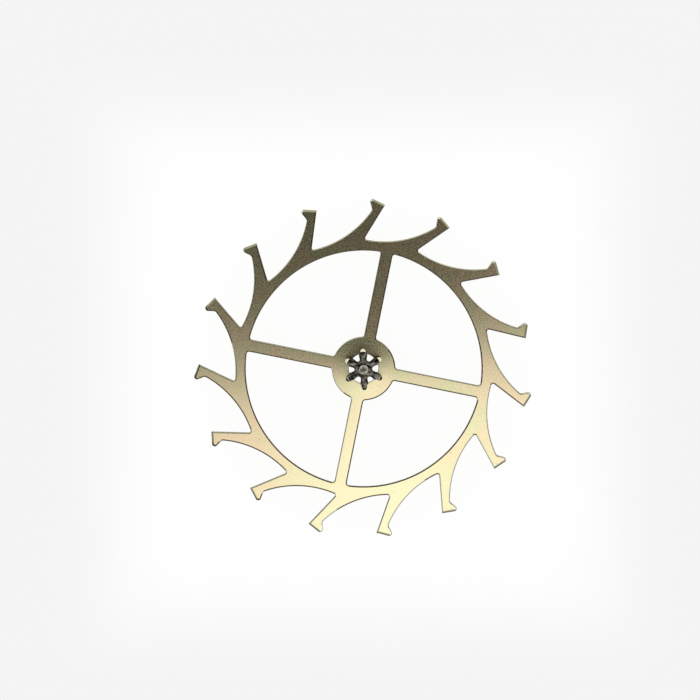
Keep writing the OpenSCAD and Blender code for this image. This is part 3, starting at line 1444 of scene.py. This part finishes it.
@dataclass
class EscapePinion:
    """The steel turning: six leaves, the arbor and both pivots.

    Sizes are in millimetres and degrees, and steps say how finely a curve is cut. oil_up_leaf and
    oil_up_chamfer are the oil's shares at equal steps up the leaves and up their chamfers, and
    blank_clear is what a blank that doesn't cut the leaves stands out from them. cone_round is how
    far in and up the middle of the cone's rounded foot lies, as shares of the shoulder's ease.
    """

    leaf_count: int = 6
    leaf_turn: float = 43.6
    pitch_r: float = 0.375
    leaf_w: float = 0.131
    tip_r: float = 0.4875
    root_r: float = 0.175
    seat_r: float = 0.35
    rivet_z: float = 0.625
    wheel_z: float = 0.64
    rivet_sink: float = 0.05
    wheel_top_z: float = 0.86
    leaf_top_z: float = 1.71
    leaf_chamfer: float = 0.07
    leaf_round: float = 0.01
    chamfer_foot_tilt: float = 48.0
    chamfer_top_tilt: float = 54.0
    blank_clear: float = 1.0
    upper_arbor_d: float = 0.23
    upper_arbor_len: float = 0.26
    lower_arbor_d: float = 0.27
    arbor_taper: float = 2.0
    pivot_d: float = 0.106
    pivot_len: float = 0.22
    shoulder_cone: float = 0.03
    shoulder_ease: float = 0.006
    cone_round: tuple[float, float] = (0.5, 0.4)
    pivot_round: float = 0.018
    oil_thin: float = 0.02
    oil_thick: float = 0.045
    oil_seed: int = 5
    oil_up_leaf: tuple[float, ...] = (0.5, 0.9, 1.0, 1.0, 0.8)
    oil_up_chamfer: tuple[float, ...] = (0.55, 0.25, 0.0, 0.0)
    tip_steps: int = 18
    gap_steps: int = 10
    round_steps: int = 3
    pivot_steps: int = 4
    arbor_steps: int = 96
    tolerance: float = 1e-9
    gap_margin: float = 0.001
    finish: PolishedSteel = PolishedSteel()

    @property
    def chamfer_z(self) -> float:
        """Height of the foot of the leaves' chamfers."""
        return self.leaf_top_z - self.leaf_chamfer

    def oil_row(self, outline: Stretch) -> list[float]:
        """Draws how thick the dried oil is along the leaves' outline.

        Args:
            outline: The outline.

        Returns:
            The thickness at each mark, none outside the gaps.
        """
        chance = random.Random(self.oil_seed)
        per_leaf = len(outline) // self.leaf_count
        made = []
        for _ in range(self.leaf_count):
            first, last = (chance.uniform(self.oil_thin, self.oil_thick) for _ in range(2))
            for k in range(per_leaf):
                in_gap = abs(outline[k].at) < self.seat_r + self.gap_margin
                made.append(first + (last - first) * k / per_leaf if in_gap else 0.0)
        return made

    def tip(self) -> Stretch:
        """The elliptical tip of the leaf along +X, which runs on from the flanks.

        Returns:
            Its marks, anticlockwise.
        """
        half = math.asin(self.leaf_w / 2 / self.pitch_r)
        shoulder = cmath.rect(self.pitch_r, half)
        rise = self.tip_r - shoulder.real
        centre_rise = rise * rise / (shoulder.real + 2 * rise)
        length = rise - centre_rise
        half_w = length * math.sqrt(shoulder.imag * math.tan(half) / centre_rise)
        centre = shoulder.real + centre_rise
        start = math.atan2(shoulder.imag / half_w, (shoulder.real - centre) / length)
        made = []
        for k in range(self.tip_steps + 1):
            t = -start + 2 * start * k / self.tip_steps
            out = complex(math.cos(t) / length, math.sin(t) / half_w)
            at = centre + complex(length * math.cos(t), half_w * math.sin(t))
            made.append(Mark(at, out / abs(out)))
        return made

    def leaf_outline(self) -> Stretch:
        """All leaves, with radial flanks and round-bottomed gaps.

        Returns:
            The marks in a closed row, anticlockwise.
        """
        half = math.asin(self.leaf_w / 2 / self.pitch_r)
        gap_half = math.pi / self.leaf_count - half
        gap_c = self.root_r / (1 - math.sin(gap_half))
        gap_r = gap_c * math.sin(gap_half)
        gap_at = cmath.rect(gap_c, math.pi / self.leaf_count)
        flank = cmath.rect(1.0, half)
        other = (gap_at / abs(gap_at)) ** 2 / flank
        radii = (self.seat_r, (self.seat_r + gap_c * math.cos(gap_half)) / 2)
        foot = cmath.phase(1j * flank) - math.pi
        far = cmath.phase(-1j * other) + math.pi
        leaf = self.tip()
        leaf += [Mark(r * flank, 1j * flank) for r in radii]
        leaf += hollow(gap_at, gap_r, foot, far, self.gap_steps)
        leaf += [Mark(r * other, -1j * other) for r in reversed(radii)]
        turns = [
            direction(k * 360 / self.leaf_count + self.leaf_turn) for k in range(self.leaf_count)
        ]
        return [m.turned(t) for t in turns for m in leaf]

    def leaf_levels(self) -> list[Level]:
        """Works out the rings of the leaves, from the riveted end to the upper face.

        Returns:
            The levels, upwards.
        """
        full = self.tip_r + self.blank_clear
        spread_r = self.seat_r + self.rivet_sink
        made = [
            Level(self.rivet_z, spread_r - (self.wheel_z - self.rivet_z)),
            Level(self.wheel_z, spread_r),
            Level(self.wheel_z + self.rivet_sink, self.seat_r),
            Level(self.wheel_top_z, self.seat_r),
            Level(self.wheel_top_z, full),
        ]
        steps = len(self.oil_up_leaf)
        for k, oil in enumerate(self.oil_up_leaf, 1):
            z = self.wheel_top_z + (self.chamfer_z - self.wheel_top_z) * k / steps
            made.append(Level(z, full if k < steps else self.tip_r, oil=oil))
        cone = self.leaf_chamfer - self.leaf_round
        for k, oil in enumerate(self.oil_up_chamfer, 1):
            up = cone * k / len(self.oil_up_chamfer)
            made.append(Level(self.chamfer_z + up, self.tip_r - up, oil=oil))
        for tilt in quarter_turn(self.round_steps)[1:]:
            down = self.leaf_round * (1 - math.sin(tilt))
            inset = self.leaf_round * (1 - math.cos(tilt))
            made.append(Level(self.leaf_top_z - down, self.tip_r - self.leaf_chamfer + down, inset))
        return made

    def blank_tilt(self, here: Level, low: Level, high: Level) -> float:
        """Tilt of the turned blank's normal, slightly domed on the chamfer.

        Args:
            here: The corner's own level.
            low: Lower level of the face.
            high: Upper level of the face.

        Returns:
            The tilt in radians.
        """
        if abs(high.blank_r - low.blank_r) >= self.blank_clear / 2:
            return 0.0
        slope = math.atan2(-(high.blank_r - low.blank_r), high.z - low.z)
        share = (here.z - self.chamfer_z) / self.leaf_chamfer
        foot, top = self.chamfer_foot_tilt, self.chamfer_top_tilt
        return math.radians(foot + (top - foot) * share) if slope and share >= 0 else slope

    def leaf_corner(self, here: Level, low: Level, high: Level, mark: Mark, oil: float,
                    turned: bool) -> tuple[Point, float]:
        """Dresses a corner of the leaves.

        Args:
            here: The corner's own level.
            low: Lower level of the face.
            high: Upper level of the face.
            mark: The corner's mark of the outline.
            oil: Full thickness of the oil there.
            turned: Whether the corner lies on the turned blank.

        Returns:
            The normal and the wear value.
        """
        if high.z == low.z:
            return (0.0, 0.0, -1.0), FLAT
        if turned:
            normal = lifted(mark.at / abs(mark.at), self.blank_tilt(here, low, high))
            return normal, BEVELLED if low.z > self.wheel_top_z else FLAT
        tilt = math.acos(max(0.0, 1 - here.inset / self.leaf_round))
        tilt += math.atan2((low.oil - high.oil) * oil, high.z - low.z)
        return lifted(mark.out, tilt), FLAT

    def leaves(self, skin: Skin) -> tuple[list[int], list[int]]:
        """Builds the sides of the leaves.

        Args:
            skin: Where the faces go.

        Returns:
            The loops of their lower and upper ends.
        """
        outline, levels = self.leaf_outline(), self.leaf_levels()
        oil_row = self.oil_row(outline)
        rings: list[list[int]] = []
        held: list[list[bool]] = []
        for level in levels:
            outs = [level.oil * oil - level.inset for oil in oil_row]
            places = [m.at + m.out * out for m, out in zip(outline, outs)]
            held.append([abs(p) > level.blank_r - self.tolerance for p in places])
            places = [p / abs(p) * min(abs(p), level.blank_r) for p in places]
            rings.append([skin.point(p, level.z) for p in places])
        for k, (low, high) in enumerate(zip(levels, levels[1:])):
            on_chamfer = low.z >= self.chamfer_z
            turned = [b and (a or on_chamfer) for a, b in zip(held[k], held[k + 1])]
            for j in range(len(outline)):
                n = (j + 1) % len(outline)
                corners = []
                for row, i in ((k, j), (k, n), (k + 1, n), (k + 1, j)):
                    here = (levels[row], low, high)
                    dress = self.leaf_corner(*here, outline[i], oil_row[i], turned[i])
                    corners.append((rings[row][i], *dress))
                skin.face(corners)
        return rings[0], rings[-1]

    def arbor_profile(self, arbor_d: float, length: float) -> tuple[list[Ring], list[bool]]:
        """Half section of one end of the arbor, from its foot to the middle of the pivot's end.

        Args:
            arbor_d: Diameter at the pivot's shoulder.
            length: Length of the arbor there.

        Returns:
            The rings, with heights above the foot, and whether each is smooth.
        """
        r, p, q = arbor_d / 2, self.pivot_d / 2, self.pivot_round
        cone, ease = self.shoulder_cone, self.shoulder_ease
        foot_r = r + (length - cone) * math.tan(math.radians(self.arbor_taper))
        end = length + self.pivot_len
        rows = [
            (foot_r, 0.0, False), (r, length - cone - ease, True),
            (r - ease * self.cone_round[0], length - cone + ease * self.cone_round[1], True),
            (r - cone + ease, length - ease, False), (r - cone, length, False),
            (p + ease, length, False),
            (p + ease * ROUND_MIDDLE, length + ease * ROUND_MIDDLE, True),
            (p, length + ease, True), (p, end - q, True),
        ]
        for t in quarter_turn(self.pivot_steps)[1:]:
            rows.append((p - q + q * math.cos(t), end - q + q * math.sin(t), t < math.pi / 2))
        return [(a, b) for a, b, _ in rows], [c for _, _, c in rows]

    def piece(self) -> bpy.types.Object:
        """The pinion as one closed mesh.

        Returns:
            The object.
        """
        skin = Skin()
        low, high = self.leaves(skin)
        rows, smooth = self.arbor_profile(self.upper_arbor_d, self.upper_arbor_len)
        upper = [(r, self.leaf_top_z + z) for r, z in rows]
        rings = skin.turned_surface(upper, smooth, self.arbor_steps)
        skin.flat([high, rings[0]], True)
        skin.flat([rings[-1]], True)
        foot = self.rivet_z
        rows, smooth = self.arbor_profile(self.lower_arbor_d, foot - self.pivot_len)
        lower = [(r, foot - z) for r, z in reversed(rows)]
        rings = skin.turned_surface(lower, smooth[::-1], self.arbor_steps)
        skin.flat([low, rings[-1]], False)
        skin.flat([rings[0]], False)
        made = skin.piece("polished_escape_pinion", self.finish.material())
        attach(made, "root")
        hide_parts("escape_pinion")
        return made


# Studio and camera


@dataclass(frozen=True)
class Card:
    """Matt card that the metal shows. The camera doesn't see it."""

    name: str
    tone: float
    colour: Colour
    corners: tuple[Point, ...]
    faces: tuple[tuple[int, ...], ...]
    felt_scale: float = 0.2

    def piece(self) -> bpy.types.Object:
        """Makes the card, which neither the camera nor diffuse rays see and which casts no shadow.

        Returns:
            The object.
        """
        card = linked(self.name, mesh_of(self.name, self.corners, self.faces))
        material, w, surface = new_material(self.name)
        felt = w.noise(w.millimetres(), self.felt_scale)
        strength = w.times(felt, 2 * self.tone)
        glow = w.node("Emission", {"Color": (*self.colour, 1.0), "Strength": strength})
        w.feed(surface, glow.outputs[0])
        card.data.materials.append(material)
        card.visible_camera = False
        card.visible_diffuse = False
        card.visible_shadow = False
        return card


@dataclass(frozen=True)
class LowCard:
    """A stretch of the low ring of cards: its angles in the picture, its height and its tone.

    Angles are in degrees, the distance from the wheel and the height of its foot in millimetres.
    """

    name: str
    first: float
    last: float
    top_angle: float
    tone: float
    colour: Colour = WARM_WHITE
    away: float = 75.0
    foot: float = 0.3
    steps: int = 12

    def card(self, right: Vector, up: Vector) -> Card:
        """The curved card.

        Args:
            right: The picture's right on the wheel's face.
            up: The picture's up there.

        Returns:
            The card.
        """
        n = self.steps
        turns = [math.radians(self.first + (self.last - self.first) * k / n) for k in range(n + 1)]
        ways = [math.cos(t) * right + math.sin(t) * up for t in turns]
        top = math.radians(self.top_angle)
        rise = math.sin(top) * Vector((0, 0, 1))
        lower = [self.away * way + Vector((0, 0, self.foot)) for way in ways]
        upper = [self.away * (math.cos(top) * way + rise) for way in ways]
        strips = tuple((k, k + 1, n + 2 + k, n + 1 + k) for k in range(n))
        corners = tuple(tuple(c) for c in lower + upper)
        return Card(self.name, self.tone, self.colour, corners, strips)


@dataclass(frozen=True)
class Lamp:
    """A square soft lamp that faces the wheel.

    Its place is right, up and above in the picture, in millimetres. Its radiance is 1 for white.
    """

    name: str
    place: Point
    size: float
    radiance: float
    colour: Colour = WHITE

    def piece(self, right: Vector, up: Vector, target: Vector) -> bpy.types.Object:
        """Sets up the lamp.

        Args:
            right: The picture's right on the wheel's face.
            up: The picture's up there.
            target: What it faces.

        Returns:
            The object.
        """
        data = bpy.data.lights.new(self.name, "AREA")
        data.color = self.colour
        data.shape = "SQUARE"
        data.size = self.size * MM
        data.energy = self.radiance * math.pi * (self.size * MM) ** 2
        to_right, to_up, above = self.place
        at = (to_up * up + to_right * right + Vector((0, 0, above))) * MM
        made = linked(self.name, data)
        made.location = at
        made.rotation_euler = (at - target * MM).to_track_quat("Z", "Y").to_euler()
        made.visible_camera = False
        return made


@dataclass
class Studio:
    """Floor, white surround, dark cards, lamps and the camera.

    Lengths are in millimetres and angles in degrees. lens_share is the lens's length over the
    camera's distance.
    """

    image_turn: float = 11.4
    face_z: float = 0.86
    camera_away: float = 120.0
    camera_tilt: float = 1.45
    aim_right: float = -0.3207
    aim_up: float = 0.4377
    lens_share: float = 2.1819
    sensor_width: float = 36.0
    sight: Span = (5.0, 2000.0)
    floor_half: float = 500.0
    surround: float = 1.0
    bright_way: float = 276.0
    card_height: float = 25.0
    card_edge: float = 0.1
    card_reach: float = 24.0
    card_left: float = 60.0
    card_right: float = 30.0
    card_tone: float = 0.025
    low_cards: tuple[LowCard, ...] = (
        LowCard("right_low_card", -10.0, 18.0, 46.0, 0.45, (1.0, 0.99, 0.9)),
        LowCard("cream_low_card", 18.0, 62.0, 46.0, 0.9, (1.0, 0.96, 0.82)),
        LowCard("upper_low_card", 62.0, 158.0, 48.0, 0.85, (0.98, 1.0, 0.88)),
        LowCard("left_low_card", 158.0, 200.0, 44.0, 0.6, (0.95, 1.0, 0.9)),
        LowCard("dark_low_card", 200.0, 350.0, 19.0, 0.015),
    )
    lamps: tuple[Lamp, ...] = (
        Lamp("soft_key", (20.0, -30.0, 90.0), 60.0, 0.3),
        Lamp("pale_edge", (-8.0, 70.0, 30.0), 40.0, 0.3, (0.97, 1.0, 0.9)),
    )

    def axes(self) -> tuple[Vector, Vector]:
        """The picture's right and up directions on the wheel's face."""
        a = math.radians(self.image_turn)
        return Vector((math.cos(a), math.sin(a), 0)), Vector((-math.sin(a), math.cos(a), 0))

    def camera(self) -> bpy.types.Object:
        """Sets up the camera, straight above but for a small tilt.

        Returns:
            The object.
        """
        right, up = self.axes()
        tilt = math.radians(self.camera_tilt)
        target = Vector((0, 0, self.face_z)) + self.aim_right * right + self.aim_up * up
        back = math.cos(tilt) * Vector((0, 0, 1)) + math.sin(tilt) * up
        top = math.cos(tilt) * up - math.sin(tilt) * Vector((0, 0, 1))
        data = bpy.data.cameras.new("camera")
        data.sensor_width = self.sensor_width
        data.lens = self.lens_share * self.camera_away
        data.clip_start, data.clip_end = (limit * MM for limit in self.sight)
        made = linked("camera", data)
        turn = Matrix((right, top, back)).transposed().to_4x4()
        made.matrix_world = Matrix.Translation((target + self.camera_away * back) * MM) @ turn
        bpy.context.scene.camera = made
        return made

    def floor(self) -> bpy.types.Object:
        """Makes the floor, level with the end of the lower pivot.

        Returns:
            The object.
        """
        h = self.floor_half
        corners = [(-h, -h, 0), (h, -h, 0), (h, h, 0), (-h, h, 0)]
        made = linked("floor", mesh_of("floor", corners, [[0, 1, 2, 3]]))
        made.rotation_euler.z = math.radians(self.image_turn)
        made.data.materials.append(PaleFloor().material())
        return made

    def world(self) -> None:
        """White surround: white where it is seen, softer where it only lights."""
        world = bpy.data.worlds.new("white_surround")
        world.use_nodes = True
        w = Wiring(world.node_tree)
        light, seen = (
            w.node("Background", {"Color": (*WHITE, 1.0), "Strength": strength}).outputs[0]
            for strength in (self.surround, 1.0)
        )
        mixed = w.node("MixShader", {0: seen_by(w), 1: light, 2: seen})
        w.feed(w.node("OutputWorld").inputs[0], mixed.outputs[0])
        bpy.context.scene.world = world

    def overhead_card(self) -> Card:
        """The dark card whose edge the wheel's face shows as its change from dark to light.

        Returns:
            The card.
        """
        right, up = self.axes()
        tilt = math.radians(self.camera_tilt)
        away = self.card_height / (self.camera_away * math.cos(tilt))
        camera_up = self.aim_up + self.camera_away * math.sin(tilt)
        seen_from = self.aim_right * right + camera_up * up
        middle = Vector((0, 0, self.face_z + self.card_height)) - away * seen_from
        bright = math.radians(self.bright_way)
        way = math.cos(bright) * right + math.sin(bright) * up
        side = Vector((-way.y, way.x, 0))
        edge = middle + self.card_edge * way
        near = [edge + self.card_right * side, edge - self.card_left * side]
        corners = near + [corner - self.card_reach * way for corner in reversed(near)]
        places = tuple(tuple(c) for c in corners)
        return Card("overhead_card", self.card_tone, WARM_WHITE, places, ((0, 1, 2, 3),))

    def build(self) -> None:
        """Sets up everything round the object."""
        bpy.context.scene.view_settings.view_transform = "Standard"
        right, up = self.axes()
        self.world()
        self.floor()
        for card in (self.overhead_card(), *(low.card(right, up) for low in self.low_cards)):
            card.piece()
        self.camera()
        for lamp in self.lamps:
            lamp.piece(right, up, Vector((0, 0, self.face_z)))


def main() -> None:
    """Builds the pieces and the studio in order."""
    logging.basicConfig(level=logging.INFO, format="%(message)s")
    for maker in (EscapeWheel(), EscapePinion()):
        made = maker.piece()
        log.info("%s: %d faces", made.name, len(made.data.polygons))
    Studio().build()


if __name__ == "__main__":
    main()
